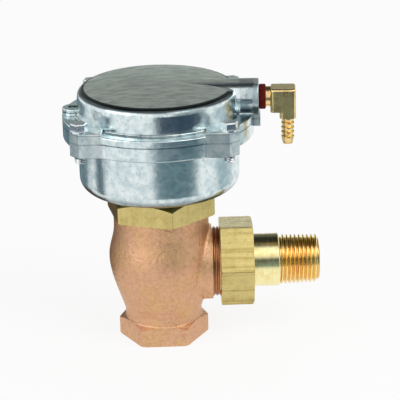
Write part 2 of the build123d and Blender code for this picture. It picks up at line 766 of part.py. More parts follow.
def air_chamber_outline():
    """Put the air chamber's half section, with its shallow dome, into the open line."""
    side = DOME_RADIUS - DOME_WALL
    shoulder = dome_edge_level - DOME_WALL
    top = crown_level - DOME_WALL
    Polyline((0, top), (0, seam_level), (side, seam_level), (side, shoulder))
    crown_arc(side, shoulder, top)


def make_top_cover():
    with BuildPart() as cover:
        with BuildSketch(ACTUATOR.offset(seam_level)):
            flange_outline()
        extrude(amount=COVER_FLANGE)
        fillet(cover.faces().sort_by(Axis.Z)[-1].edges(), FLANGE_EDGE)
        with BuildSketch(ACTUATOR.offset(seam_level)):
            ear_outline()
            Rectangle(2 * EAR_PAD_START, 2 * FLANGE_RADIUS, mode=Mode.SUBTRACT)
            Rectangle(2 * FLANGE_RADIUS, 2 * EAR_PAD_START, mode=Mode.SUBTRACT)
        extrude(amount=COVER_FLANGE + EAR_RISE)
        fillet(cover.faces().group_by(Axis.Z)[-1].edges(), FLANGE_EDGE)
        with BuildSketch(ACTUATOR.offset(seam_level)):
            with Locations((-pocket_reach, 0)):
                Circle(POCKET_PAD_RADIUS)
        extrude(amount=COVER_FLANGE + POCKET_PAD_RISE)
        fillet(cover.faces().sort_by(Axis.Z)[-1].edges(), FLANGE_EDGE)
        with BuildSketch(ACTUATOR_SECTION):
            with BuildLine():
                dome_outline()
            make_face()
        revolve(axis=Axis.Z)
        fillet(circles_of(cover, DOME_RADIUS - DOME_DRAFT), DOME_EDGE_RADIUS)
        with BuildSketch(ACROSS_AIR_BOSS.offset(AIR_BOSS_ROOT)):
            Circle(AIR_BOSS_RADIUS)
        extrude(amount=AIR_BOSS_REACH - AIR_BOSS_ROOT)
        air_boss_end = ACROSS_AIR_BOSS.offset(AIR_BOSS_REACH)
        roots = root_edges(cover, air_boss_end, AIR_BOSS_RADIUS)
        fillet(roots.filter_by_position(Axis.Z, ledge_level, crown_level), AIR_BOSS_BLEND)
        fillet(circles_of(cover, AIR_BOSS_RADIUS).sort_by(Axis.X)[-1], FLANGE_EDGE)
        with BuildSketch(ACTUATOR_SECTION.offset(-WEB_THICKNESS / 2)):
            boss_web_outline()
        extrude(amount=WEB_THICKNESS)
        with BuildSketch(ACTUATOR_SECTION):
            with BuildLine():
                air_chamber_outline()
            make_face()
            band(0, DIAPHRAGM_RADIUS + SEATED, seam_level, seam_level + DIAPHRAGM_THICKNESS)
            band(0, STOP_RADIUS, stop_level, crown_level, Mode.SUBTRACT)
        revolve(axis=Axis.Z, mode=Mode.SUBTRACT)
        with BuildSketch(ACTUATOR.offset(seam_level)):
            with screw_places():
                Circle(SCREW_SHANK_RADIUS + SEATED)
        extrude(amount=COVER_FLANGE + EAR_RISE, mode=Mode.SUBTRACT)
        with BuildSketch(ACTUATOR.offset(pocket_pad_top)):
            with Locations((-pocket_reach, 0)):
                Circle(POCKET_RADIUS)
        extrude(amount=-POCKET_DEPTH, mode=Mode.SUBTRACT)
        with BuildSketch(ACROSS_AIR_BOSS.offset(AIR_BOSS_REACH - AIR_PORT_DEPTH)):
            Circle(AIR_PORT_RADIUS)
        extrude(amount=AIR_PORT_DEPTH, mode=Mode.SUBTRACT)
        with BuildSketch(ACROSS_AIR_BOSS.offset(DOME_RADIUS / 2)):
            Circle(AIR_PASSAGE_RADIUS)
        extrude(amount=AIR_BOSS_REACH - DOME_RADIUS / 2, mode=Mode.SUBTRACT)
    return cover


def make_cover_screws():
    with BuildPart() as screws:
        with BuildSketch(ACTUATOR.offset(ear_top)):
            with screw_places():
                hexagon(SCREW_HEAD_FLATS, SCREW_HEAD_TURN)
        extrude(amount=SCREW_HEAD_HEIGHT)
        chamfer(screws.faces().group_by(Axis.Z)[-1].edges(), EDGE)
        with BuildSketch(ACTUATOR.offset(flange_bottom - SCREW_TIP)):
            with screw_places():
                Circle(SCREW_SHANK_RADIUS)
        extrude(amount=ear_top - flange_bottom + SCREW_TIP)
    return screws


def make_elbow_seal():
    with BuildPart() as seal:
        with BuildSketch(ACROSS_AIR_BOSS.offset(AIR_BOSS_REACH)):
            Circle(SEAL_RADIUS)
            Circle(ELBOW_NECK_RADIUS + SEATED, mode=Mode.SUBTRACT)
        extrude(amount=SEAL_WIDTH)
    return seal


def make_air_elbow():
    block_top = elbow_block_bottom + ELBOW_BLOCK_HEIGHT
    leg_start = elbow_block_end - ELBOW_LEG_WIDTH
    with BuildPart() as elbow:
        with BuildSketch(ACTUATOR_SECTION.offset(-ELBOW_BLOCK_DEPTH / 2)):
            Polygon(
                (elbow_block_start, block_top),
                (elbow_block_start, elbow_block_bottom),
                (leg_start, elbow_block_bottom),
                (leg_start, leg_bottom),
                (elbow_block_end, leg_bottom),
                (elbow_block_end, block_top),
                align=None,
            )
        extrude(amount=ELBOW_BLOCK_DEPTH)
        fillet(elbow.edges().filter_by(Axis.Z), ELBOW_BLOCK_CORNER)
        fillet(elbow.faces().sort_by(Axis.Z)[-1].edges(), ELBOW_BLOCK_EDGE)
        with BuildSketch(ACROSS_AIR_BOSS.offset(AIR_BOSS_REACH - AIR_PORT_DEPTH + LOOSE)):
            Circle(ELBOW_NECK_RADIUS)
        extrude(amount=AIR_PORT_DEPTH - LOOSE + SEAL_WIDTH + ELBOW_NECK_LENGTH)
        with BuildSketch(ACTUATOR_SECTION):
            Polygon(*barb_outline(), align=None)
        revolve(axis=BARB_AXIS)
        with BuildSketch(ACROSS_AIR_BOSS.offset(AIR_BOSS_REACH - AIR_PORT_DEPTH)):
            Circle(ELBOW_BORE_RADIUS)
        extrude(amount=barb_reach - AIR_BOSS_REACH + AIR_PORT_DEPTH, mode=Mode.SUBTRACT)
        with BuildSketch(ACTUATOR.offset(barb_bottom)):
            with Locations((barb_reach, 0)):
                Circle(ELBOW_BORE_RADIUS)
        extrude(amount=air_level - barb_bottom, mode=Mode.SUBTRACT)
    return elbow


def barb_outline():
    """Half section of the hose barb, from its tip up into the leg."""
    points = [(barb_reach, barb_bottom), (barb_reach + BARB_ROOT_RADIUS, barb_bottom)]
    low = barb_bottom + BARB_TIP
    for _ in range(BARB_COUNT):
        high = low + BARB_PITCH
        points.append((barb_reach + BARB_RADIUS, high - BARB_LAND))
        points.append((barb_reach + BARB_RADIUS, high))
        points.append((barb_reach + BARB_ROOT_RADIUS, high))
        low = high
    points.append((barb_reach + BARB_ROOT_RADIUS, leg_bottom + ELBOW_BLOCK_CORNER))
    points.append((barb_reach, leg_bottom + ELBOW_BLOCK_CORNER))
    return points


os.makedirs("parts", exist_ok=True)
save(make_valve_body(), "valve_body")
save(make_bonnet(), "bonnet")
save(make_bonnet_gasket(), "bonnet_gasket")
save(make_union_nut(), "union_nut")
save(make_union_tailpiece(), "union_tailpiece")
save(make_stem(), "stem")
save(make_disc_holder(), "disc_holder")
save(make_seat_disc(), "seat_disc")
save(make_hex_nut(DISC_NUT_FLATS, disc_nut_bottom, disc_bottom, STEM_END_RADIUS + SEATED), "disc_nut")
save(make_packing_rings(), "packing_rings")
save(make_packing_washer(), "packing_washer")
save(make_packing_spring(), "packing_spring")
save(make_gland_nut(), "gland_nut")
save(make_lower_housing(), "lower_housing")
save(make_housing_locknut(), "housing_locknut")
save(make_return_spring(), "return_spring")
save(make_diaphragm_plate(), "diaphragm_plate")
save(make_diaphragm(), "diaphragm")
save(make_diaphragm_washer(), "diaphragm_washer")
save(make_hex_nut(STEM_NUT_FLATS, washer_top, stem_nut_top, STEM_END_RADIUS + SEATED), "stem_nut")
save(make_top_cover(), "top_cover")
save(make_cover_screws(), "cover_screws")
save(make_elbow_seal(), "elbow_seal")
save(make_air_elbow(), "air_elbow")
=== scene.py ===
"""Finishes, threads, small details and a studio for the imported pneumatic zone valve."""
import logging
import math
from dataclasses import dataclass
from enum import Enum
from typing import Dict, List, Sequence, Tuple, Union

import bmesh
import bpy
from mathutils import Matrix, Vector


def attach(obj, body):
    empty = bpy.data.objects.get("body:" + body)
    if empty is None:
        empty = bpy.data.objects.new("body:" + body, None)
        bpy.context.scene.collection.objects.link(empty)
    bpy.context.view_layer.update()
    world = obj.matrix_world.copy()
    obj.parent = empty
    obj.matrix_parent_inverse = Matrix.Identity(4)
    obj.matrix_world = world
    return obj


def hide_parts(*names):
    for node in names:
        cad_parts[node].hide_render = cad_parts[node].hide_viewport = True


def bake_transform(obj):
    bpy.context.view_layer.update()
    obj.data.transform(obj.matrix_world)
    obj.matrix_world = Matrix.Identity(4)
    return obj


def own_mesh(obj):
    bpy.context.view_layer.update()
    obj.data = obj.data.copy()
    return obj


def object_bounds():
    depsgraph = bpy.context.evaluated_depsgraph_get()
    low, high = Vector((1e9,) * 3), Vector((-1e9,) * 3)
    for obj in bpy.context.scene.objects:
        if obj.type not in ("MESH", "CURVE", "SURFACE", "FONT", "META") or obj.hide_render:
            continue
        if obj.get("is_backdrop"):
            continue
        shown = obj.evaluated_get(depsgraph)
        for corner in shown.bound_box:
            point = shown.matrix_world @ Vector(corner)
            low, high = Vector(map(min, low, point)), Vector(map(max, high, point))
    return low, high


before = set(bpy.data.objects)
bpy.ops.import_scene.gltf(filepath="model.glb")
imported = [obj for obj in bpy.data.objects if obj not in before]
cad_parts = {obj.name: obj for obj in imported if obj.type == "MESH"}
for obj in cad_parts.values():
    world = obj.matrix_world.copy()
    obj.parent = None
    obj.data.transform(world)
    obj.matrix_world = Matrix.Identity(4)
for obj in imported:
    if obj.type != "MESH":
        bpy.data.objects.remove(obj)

LOG = logging.getLogger("zone_valve")
MM = 0.001
OUTLET_LEVEL = 33.1
PIPE_PITCH = 1.814
PIPE_TAPER = 1 / 32
NOISE_ROUGHNESS = 0.55
ROOT_OVERLAP = 0.1
MERGE_DISTANCE = 1e-6
SHARP_ANGLE = 35.0
Colour = Tuple[float, float, float, float]
Place = Tuple[float, float, float]
Input = Union["Wire", float, int, tuple, bool, str, bpy.types.ID]
WHITE: Colour = (1.0, 1.0, 1.0, 1.0)
ALONG_X: Place = (1.0, 0.0, 0.0)
ALONG_Z: Place = (0.0, 0.0, 1.0)


class Axis(Enum):
    """A direction of the row frame."""

    X = "X"
    Y = "Y"
    Z = "Z"


def tint(red: int, green: int, blue: int) -> Colour:
    """Turn a colour as seen on a screen into the linear colour that a shader takes.

    Args:
        red: Red from 0 to 255.
        green: Green from 0 to 255.
        blue: Blue from 0 to 255.

    Returns:
        The linear colour with full alpha.
    """
    parts = [channel / 255 for channel in (red, green, blue)]
    linear = [p / 12.92 if p <= 0.04045 else ((p + 0.055) / 1.055) ** 2.4 for p in parts]
    return (linear[0], linear[1], linear[2], 1.0)


class Wire:
    """A node's output with Python arithmetic; each operation adds one Math node."""

    def __init__(self, graph: "Graph", socket: bpy.types.NodeSocket) -> None:
        """Keep the socket and the graph that owns it."""
        self.graph = graph
        self.socket = socket

    def maths(self, operation: str, first: Input, second: Input) -> "Wire":
        """Add one Math node.

        Args:
            operation: The Math node's operation.
            first: Its first value or wire.
            second: Its second value or wire.

        Returns:
            The node's result.
        """
        kind = self.graph.math_kind
        return self.graph.node(kind, {"operation": operation}, {0: first, 1: second})

    def __add__(self, other: Input) -> "Wire":
        """Add."""
        return self.maths("ADD", self, other)

    def __radd__(self, other: Input) -> "Wire":
        """Add, with the number first."""
        return self.maths("ADD", other, self)

    def __sub__(self, other: Input) -> "Wire":
        """Subtract."""
        return self.maths("SUBTRACT", self, other)

    def __rsub__(self, other: Input) -> "Wire":
        """Subtract from a number."""
        return self.maths("SUBTRACT", other, self)

    def __mul__(self, other: Input) -> "Wire":
        """Multiply."""
        return self.maths("MULTIPLY", self, other)

    def __rmul__(self, other: Input) -> "Wire":
        """Multiply, with the number first."""
        return self.maths("MULTIPLY", other, self)

    def __truediv__(self, other: Input) -> "Wire":
        """Divide."""
        return self.maths("DIVIDE", self, other)

    def above(self, level: float, blur: float) -> "Wire":
        """A mask that rises from 0 to 1 over blur around a level.

        Args:
            level: The value where the mask is a half.
            blur: The width of its rise.

        Returns:
            The mask.
        """
        limits = {1: level - blur / 2, 2: level + blur / 2, 3: 0.0, 4: 1.0}
        settings = {"interpolation_type": "SMOOTHSTEP"}
        return self.graph.node("ShaderNodeMapRange", settings, {0: self, **limits})

    def below(self, level: float, blur: float) -> "Wire":
        """The mask that above() gives, turned round."""
        return 1 - self.above(level, blur)

    def absolute(self) -> "Wire":
        """The value without its sign."""
        return self.maths("ABSOLUTE", self, 0.0)


class Graph:
    """A node tree that is built from Python."""

    math_kind = "ShaderNodeMath"

    def __init__(self, tree: bpy.types.NodeTree) -> None:
        """Keep the tree."""
        self.tree = tree

    def node(
        self,
        kind: str,
        settings: Dict[str, object],
        inputs: Dict[Union[int, str], Input],
        output: Union[int, str] = 0,
    ) -> Wire:
        """Add any node.

        Args:
            kind: The node's type name.
            settings: Its attributes.
            inputs: Values or wires for its sockets, by index or name.
            output: The output that is wanted, by index or name.

        Returns:
            That output.
        """
        made = self.tree.nodes.new(kind)
        for name, value in settings.items():
            setattr(made, name, value)
        for key, value in inputs.items():
            self.feed(made.inputs[key], value)
        return Wire(self, made.outputs[output])

    def feed(self, socket: bpy.types.NodeSocket, value: Input) -> None:
        """Link a wire to a socket or set the socket's own value."""
        if isinstance(value, Wire):
            self.tree.links.new(value.socket, socket)
        else:
            socket.default_value = value

    def mix(self, factor: Input, first: Input, second: Input) -> Wire:
        """Mix two colours.

        Args:
            factor: 0 for the first, 1 for the second.
            first: The first colour.
            second: The second colour.

        Returns:
            The mixed colour.
        """
        settings = {"data_type": "RGBA", "blend_type": "MIX", "clamp_factor": True}
        return self.node("ShaderNodeMix", settings, {0: factor, 6: first, 7: second}, 2)


class Surface(Graph):
    """A metal or rubber material with one Principled shader, on Object coordinates."""

    def __init__(self, name: str) -> None:
        """Make the material with its shader, and the object's coordinates.

        Args:
            name: The material's name.
        """
        self.material = bpy.data.materials.new(name)
        self.material.use_nodes = True
        super().__init__(self.material.node_tree)
        self.tree.nodes.clear()
        self.shader = self.tree.nodes.new("ShaderNodeBsdfPrincipled")
        output = self.tree.nodes.new("ShaderNodeOutputMaterial")
        self.tree.links.new(self.shader.outputs[0], output.inputs[0])
        self.place = self.node("ShaderNodeTexCoord", {}, {}, "Object")

    def axis(self, axis: Axis) -> Wire:
        """One coordinate of the place on the object, in metres."""
        return self.node("ShaderNodeSeparateXYZ", {}, {0: self.place}, axis.value)

    def facing(self, axis: Axis) -> Wire:
        """One part of the surface's normal."""
        normal = self.node("ShaderNodeNewGeometry", {}, {}, "Normal")
        return self.node("ShaderNodeSeparateXYZ", {}, {0: normal}, axis.value)

    def reach(self) -> Wire:
        """The distance from the stem's axis, in metres.

        Returns:
            The distance of each point of the surface.
        """
        level = {0: self.place, 1: (1.0, 1.0, 0.0)}
        flat = self.node("ShaderNodeVectorMath", {"operation": "MULTIPLY"}, level)
        return self.node("ShaderNodeVectorMath", {"operation": "LENGTH"}, {0: flat}, "Value")

    def near(self, value: Wire, level: float, width: float) -> Wire:
        """A soft line where a length is at a level.

        Args:
            value: The length in metres.
            level: The level in millimetres.
            width: The width of the line's soft edge in millimetres.

        Returns:
            1 on the line and 0 away from it.
        """
        gap = (value - level * MM).absolute()
        return gap.below(width * MM / 2, width * MM)

    def noise(
        self,
        size: float,
        detail: float = 2.0,
        stretch: Place = (1.0, 1.0, 1.0),
        shift: float = 0.0,
    ) -> Wire:
        """Noise with a grain of a given size.

        Args:
            size: The grain in millimetres.
            detail: The number of finer layers.
            stretch: How much coarser the grain is along each axis.
            shift: A shift in metres, so that two noises differ.

        Returns:
            Noise round a half.
        """
        scale = (1 / stretch[0], 1 / stretch[1], 1 / stretch[2])
        moves = {"Vector": self.place, "Location": (shift,) * 3, "Scale": scale}
        moved = self.node("ShaderNodeMapping", {}, moves)
        inputs = {"Vector": moved, "Scale": 1 / (size * MM)}
        layers = {"Detail": detail, "Roughness": NOISE_ROUGHNESS}
        return self.node("ShaderNodeTexNoise", {}, {**inputs, **layers})

    def bump(self, height: Input, depth: float) -> Wire:
        """Bump from a height, with its depth in millimetres."""
        inputs = {"Strength": 1.0, "Distance": depth * MM, "Height": height}
        return self.node("ShaderNodeBump", {}, inputs)

    def close(
        self,
        colour: Wire,
        roughness: Wire,
        normal: Wire,
        metallic: float = 1.0,
        specular: float = 0.5,
    ) -> bpy.types.Material:
        """Feed the shader and give the material.

        Args:
            colour: Base colour.
            roughness: Roughness.
            normal: The bumped normal.
            metallic: Metallic.
            specular: The shader's specular level.

        Returns:
            The finished material.
        """
        self.feed(self.shader.inputs["Base Color"], colour)
        self.feed(self.shader.inputs["Roughness"], roughness)
        self.feed(self.shader.inputs["Normal"], normal)
        self.feed(self.shader.inputs["Metallic"], metallic)
        self.feed(self.shader.inputs["Specular IOR Level"], specular)
        return self.material


@dataclass(frozen=True)
class CastBronze:
    """Sand-cast bronze of the angle body: tan, softly grained, a little pinker in patches."""

    tan: Colour = tint(230, 185, 138)
    pink: Colour = tint(231, 182, 147)
    brown: Colour = tint(164, 112, 78)
    grain: float = 0.6
    coarse_grain: float = 1.8
    patch: float = 9.0
    fine_pits: float = 0.3
    coarse_pits: float = 0.24
    roughness: float = 0.38
    relief: float = 0.32

    def material(self) -> bpy.types.Material:
        """Build the material.

        Returns:
            The material.
        """
        surface = Surface("cast_bronze")
        patches = surface.noise(self.patch)
        colour = surface.mix(patches.above(0.5, 0.4), self.tan, self.pink)
        grain = surface.noise(self.grain, 3.0)
        coarse = surface.noise(self.coarse_grain, shift=0.3)
        pits = grain.below(0.42, 0.3) * self.fine_pits + coarse.below(0.44, 0.4) * self.coarse_pits
        colour = surface.mix(pits, colour, self.brown)
        normal = surface.bump(grain * 0.6 + coarse, self.relief)
        return surface.close(colour, self.roughness + grain * 0.16, normal)


@dataclass(frozen=True)
class DrawnBrass:
    """Drawn hexagon bar: pale yellow brass with faint streaks along the bar."""

    name: str = "drawn_brass"
    light: Colour = tint(211, 193, 127)
    dark: Colour = tint(150, 124, 60)
    along: Place = (1.0, 1.0, 60.0)
    streak: float = 0.8
    lines: float = 0.12
    cloud: float = 5.0
    smudge: float = 1.6
    wear: float = 0.5
    roughness: float = 0.22
    relief: float = 0.05

    def material(self) -> bpy.types.Material:
        """Build the material.

        Returns:
            The material.
        """
        surface = Surface(self.name)
        streaks = surface.noise(self.streak, 3.0, self.along)
        cloud = surface.noise(self.cloud, 3.0, shift=0.9)
        smudge = surface.noise(self.smudge, 3.0, shift=0.4)
        worn = smudge.above(0.6, 0.2) * self.wear * 0.4 + cloud.above(0.58, 0.3) * self.wear * 0.5
        dark = streaks.below(0.42, 0.16) * self.lines + worn
        colour = surface.mix(dark, self.light, self.dark)
        normal = surface.bump(streaks * self.lines * 3.0 + smudge * 0.6, self.relief)
        return surface.close(colour, self.roughness + cloud * 0.12, normal)


@dataclass(frozen=True)
class TurnedBrass:
    """Machined brass with fine turning marks round one axis and painted shade where it faces up."""

    name: str
    light: Colour = tint(254, 246, 188)
    deep: Colour = tint(238, 200, 118)
    cut: Colour = tint(236, 190, 116)
    # The next colour is the painted shade on the faces that look up.
    dark: Colour = tint(92, 74, 54)
    axis: Axis = Axis.X
    mark: float = 0.28
    mark_stretch: float = 80.0
    stain: float = 4.0
    # Where along the axis the colour of the threaded end starts; by default past every piece.
    cut_level: float = 1000.0
    # Strength of the painted shade on the faces that look up.
    top_shade: float = 0.0
    roughness: float = 0.2
    relief: float = 0.02

    def material(self) -> bpy.types.Material:
        """Build the material.

        Returns:
            The material.
        """
        surface = Surface(self.name)
        stretch = [1.0 if axis is self.axis else self.mark_stretch for axis in Axis]
        rings = surface.noise(self.mark, stretch=(stretch[0], stretch[1], stretch[2]))
        stain = surface.noise(self.stain, 3.0, shift=0.2)
        colour = surface.mix(stain.above(0.58, 0.3) * 0.5, self.light, self.deep)
        colour = surface.mix(rings.below(0.45, 0.3) * 0.3, colour, self.deep)
        past_cut = surface.axis(self.axis).above(self.cut_level * MM, 0.4 * MM)
        colour = surface.mix(past_cut, colour, self.cut)
        # Painted shade: the faces that look up are darkened towards the dark colour.
        upward = surface.facing(Axis.Z).above(0.86, 0.22)
        colour = surface.mix(upward * self.top_shade, colour, self.dark)
        normal = surface.bump(rings, self.relief)
        return surface.close(colour, self.roughness + rings * 0.1, normal)


@dataclass(frozen=True)
class CastAluminium:
    """Die-cast aluminium: bluish mottled walls, grime, painted shade under overhangs, in creases and
    on the dome's edge, and a duller, rubbed top.
    """

    light: Colour = tint(230, 240, 240)
    blue: Colour = tint(198, 215, 219)
    dull: Colour = tint(226, 232, 224)
    worn: Colour = tint(150, 160, 156)
    # The next colour serves both the grime smudges and the painted shade; the one after it is the
    # painted shade round the dome's edge.
    grime_and_shade: Colour = tint(58, 74, 82)
    rim_shade: Colour = tint(34, 44, 48)
    top_level: float = 114.2
    rim_level: float = 113.2
    rim_reach: Tuple[float, float] = (30.0, 35.4)
    boss_shift: float = -1.9
    boss_radius: float = 8.2
    boss_start: float = 35.0
    boss_foot: float = 104.9
    boss_level: float = 109.0
    ear_reach: float = 41.5
    # Level, width and strength of the dark lines: the flanges' joint, and painted shade in the crease
    # at the dome's foot above it and under the flange below it.
    joint_and_shade_lines: Tuple[Tuple[float, float, float], ...] = (
        (100.4, 0.45, 0.85),
        (104.3, 0.45, 0.8),
        (93.9, 0.7, 0.6),
    )
    mottle: float = 4.0
    fine_grain: float = 0.7
    rubbed: float = 2.2
    smudge: float = 2.4
    # Strengths of the darkening: painted shade under the overhangs, grime smudges, a plain darkening
    # of the ears, then painted shade on the air boss, on its lower half and round the dome's edge.
    under_shade: float = 0.6
    smudge_dirt: float = 0.22
    ear_darkening: float = 0.22
    boss_shade: float = 0.24
    boss_low_shade: float = 0.3
    rim_shade_strength: float = 0.92
    roughness: float = 0.17
    top_roughness: float = 0.36
    relief: float = 0.07

    def top(self, surface: Surface, height: Wire) -> Wire:
        """The dome's rubbed top."""
        flat = surface.facing(Axis.Z).above(0.9, 0.14)
        return height.above(self.top_level * MM, 0.5 * MM) * flat

    def colour(self, surface: Surface, height: Wire, flow: Wire, top: Wire, ear: Wire) -> Wire:
        """The casting's colour with its grime and its painted shade.

        Args:
            surface: The material.
            height: The level on the casting, in metres.
            flow: The mottling.
            top: The mask of the dome's top.
            ear: The mask of the ears.

        Returns:
            The colour.
        """
        upward = surface.facing(Axis.Z)
        colour = surface.mix(flow.above(0.5, 0.3), self.light, self.blue)
        rubbed = surface.noise(self.rubbed, 4.0, (3.0, 1.0, 1.0), 0.5)
        top_colour = surface.mix(rubbed.above(0.52, 0.4) * 0.55, self.dull, self.worn)
        colour = surface.mix(top, colour, top_colour)
        smudge = surface.noise(self.smudge, 3.0, shift=0.7)
        # Painted shade on the faces that look down, grime smudges, the ears a little darker, the dark
        # joint line with painted shade in the creases beside it, and painted shade on the air boss,
        # heavier on its lower half.
        dirt_and_shade = (0.0 - upward).above(0.35, 0.5) * self.under_shade
        dirt_and_shade = dirt_and_shade + smudge.above(0.62, 0.16) * self.smudge_dirt * (1 - top) + ear * self.ear_darkening
        for level, width, strength in self.joint_and_shade_lines:
            dirt_and_shade = dirt_and_shade + surface.near(height, level, width) * strength * (1 - ear * 0.6)
        boss_low = height.below(self.boss_level * MM, 2.0 * MM)
        boss_shade = self.boss_shade + boss_low * self.boss_low_shade
        dirt_and_shade = dirt_and_shade + self.boss(surface, height) * boss_shade
        colour = surface.mix(dirt_and_shade, colour, self.grime_and_shade)
        # Painted shade: a dark band round the dome's edge, left open where the air boss crosses it.
        band = height.above(self.rim_level * MM, 0.8 * MM) * upward.below(0.975, 0.03)
        return surface.mix(band * self.rim_ring(surface) * self.rim_shade_strength, colour, self.rim_shade)

    def rim_ring(self, surface: Surface) -> Wire:
        """The ring of the dome's edge, left open where the air boss crosses it.

        Args:
            surface: The material.

        Returns:
            The mask.
        """
        inner, outer = self.rim_reach
        out = surface.reach()
        ring = out.above(inner * MM, 1.0 * MM) * out.below(outer * MM, 0.5 * MM)
        boss_side = surface.axis(Axis.X).above(0.0, 1.0 * MM)
        return ring * (1 - boss_side * self.within_boss(surface))

    def within_boss(self, surface: Surface) -> Wire:
        """What lies within the air boss's width."""
        gap = (surface.axis(Axis.Y) - self.boss_shift * MM).absolute()
        return gap.below(self.boss_radius * MM, 0.4 * MM)

    def boss(self, surface: Surface, height: Wire) -> Wire:
        """The air boss, from the dome's edge outwards."""
        out = surface.axis(Axis.X).above(self.boss_start * MM, 1.0 * MM)
        return out * self.within_boss(surface) * height.above(self.boss_foot * MM, 0.6 * MM)

    def material(self) -> bpy.types.Material:
        """Build the material.

        Returns:
            The material.
        """
        surface = Surface("cast_aluminium")
        height = surface.axis(Axis.Z)
        flow = surface.noise(self.mottle, 3.0)
        fine = surface.noise(self.fine_grain, 3.0)
        top = self.top(surface, height)
        ear = surface.reach().above(self.ear_reach * MM, 1.0 * MM)
        colour = self.colour(surface, height, flow, top, ear)
        roughness = self.roughness + flow * 0.08 + top * self.top_roughness
        roughness = roughness + ear * (0.1 + fine * 0.2)
        relief = flow * 1.2 + fine * (0.3 + ear * 0.6)
        return surface.close(colour, roughness, surface.bump(relief, self.relief))


@dataclass(frozen=True)
class PlainMetal:
    """A plain machined, plated or drawn metal with a faint fine grain."""

    name: str
    light: Colour
    dark: Colour
    grain: float = 0.4
    roughness: float = 0.25
    relief: float = 0.02

    def material(self) -> bpy.types.Material:
        """Build the material.

        Returns:
            The material.
        """
        surface = Surface(self.name)
        grain = surface.noise(self.grain, 3.0)
        colour = surface.mix(grain.above(0.5, 0.5) * 0.6, self.light, self.dark)
        normal = surface.bump(grain, self.relief)
        return surface.close(colour, self.roughness + grain * 0.14, normal)


@dataclass(frozen=True)
class Moulded:
    """Rubber, fibre or plastic with a faint moulded grain."""

    name: str
    light: Colour
    dark: Colour
    roughness: float = 0.5
    grain: float = 0.6
    specular: float = 0.5
    relief: float = 0.03

    def material(self) -> bpy.types.Material:
        """Build the material.

        Returns:
            The material.
        """
        surface = Surface(self.name)
        grain = surface.noise(self.grain, 3.0)
        colour = surface.mix(grain.above(0.5, 0.4), self.light, self.dark)
        normal = surface.bump(grain, self.relief)
        return surface.close(colour, self.roughness + grain * 0.15, normal, 0.0, self.specular)


class Finish(Enum):
    """Every finish on the valve."""

    CAST_BRONZE = CastBronze()
    BONNET_BRASS = DrawnBrass()
    NUT_BRASS = DrawnBrass("drawn_brass_nut", along=(60.0, 1.0, 1.0), streak=2.0, lines=0.45)
    # The tailpiece and the two threads get painted shade on the faces that look up.
    TAIL_BRASS = TurnedBrass("tail_brass", cut_level=51.6, top_shade=0.62)
    UNION_THREAD = TurnedBrass(
        "union_thread_bronze", tint(206, 146, 96), tint(120, 76, 44), roughness=0.3, top_shade=0.8
    )
    THREAD_BRASS = TurnedBrass(
        "thread_brass", tint(255, 236, 172), tint(234, 172, 94), roughness=0.2, top_shade=0.75
    )
    INNER_BRASS = TurnedBrass("turned_brass_inner", axis=Axis.Z)
    ELBOW_BRASS = DrawnBrass(
        "elbow_brass", tint(250, 222, 158), tint(150, 112, 56), wear=0.8, roughness=0.2
    )
    CAST_ALUMINIUM = CastAluminium()
    SCREW = PlainMetal("bright_screw", tint(240, 244, 246), tint(190, 200, 206), roughness=0.18)
    STEEL = PlainMetal("steel", tint(190, 192, 194), tint(140, 142, 145))
    SPRING = PlainMetal("spring_steel", tint(120, 122, 124), tint(70, 72, 74), roughness=0.35)
    PLATE = PlainMetal("plate_aluminium", tint(200, 203, 206), tint(165, 170, 175))
    RUBBER = Moulded("black_rubber", tint(38, 38, 38), tint(24, 24, 25))
    PTFE = Moulded("white_ptfe", tint(236, 236, 232), tint(222, 222, 216))
    FIBRE = Moulded("fibre", tint(150, 104, 78), tint(110, 70, 50), 0.7)
    SEAL = Moulded("red_seal", tint(104, 20, 12), tint(66, 10, 6), 0.6, specular=0.12)


FINISHES: Dict[str, Finish] = {
    "valve_body": Finish.CAST_BRONZE,
    "bonnet": Finish.BONNET_BRASS,
    "bonnet_gasket": Finish.FIBRE,
    "union_nut": Finish.NUT_BRASS,
    "union_tailpiece": Finish.TAIL_BRASS,
    "stem": Finish.STEEL,
    "disc_holder": Finish.INNER_BRASS,
    "seat_disc": Finish.RUBBER,
    "disc_nut": Finish.INNER_BRASS,
    "packing_rings": Finish.PTFE,
    "packing_washer": Finish.INNER_BRASS,
    "packing_spring": Finish.SPRING,
    "gland_nut": Finish.INNER_BRASS,
    "lower_housing": Finish.CAST_ALUMINIUM,
    "housing_locknut": Finish.STEEL,
    "return_spring": Finish.SPRING,
    "diaphragm_plate": Finish.PLATE,
    "diaphragm": Finish.RUBBER,
    "diaphragm_washer": Finish.PLATE,
    "stem_nut": Finish.STEEL,
    "top_cover": Finish.CAST_ALUMINIUM,
    "cover_screws": Finish.SCREW,
    "air_elbow": Finish.ELBOW_BRASS,
}


class Paints:
    """Makes each finish once and hands it out."""

    def __init__(self) -> None:
        """Start with no material made."""
        self.made: Dict[Finish, bpy.types.Material] = {}

    def get(self, finish: Finish) -> bpy.types.Material:
        """The material of a finish, made the first time it is asked for."""
        if finish not in self.made:
            self.made[finish] = finish.value.material()
        return self.made[finish]

    def dress_node(self, name: str) -> None:
        """Put its finish on one CAD node."""
        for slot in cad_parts[name].material_slots:
            slot.material = self.get(FINISHES[name])
        LOG.info("finish on %s: %s", name, FINISHES[name].name)


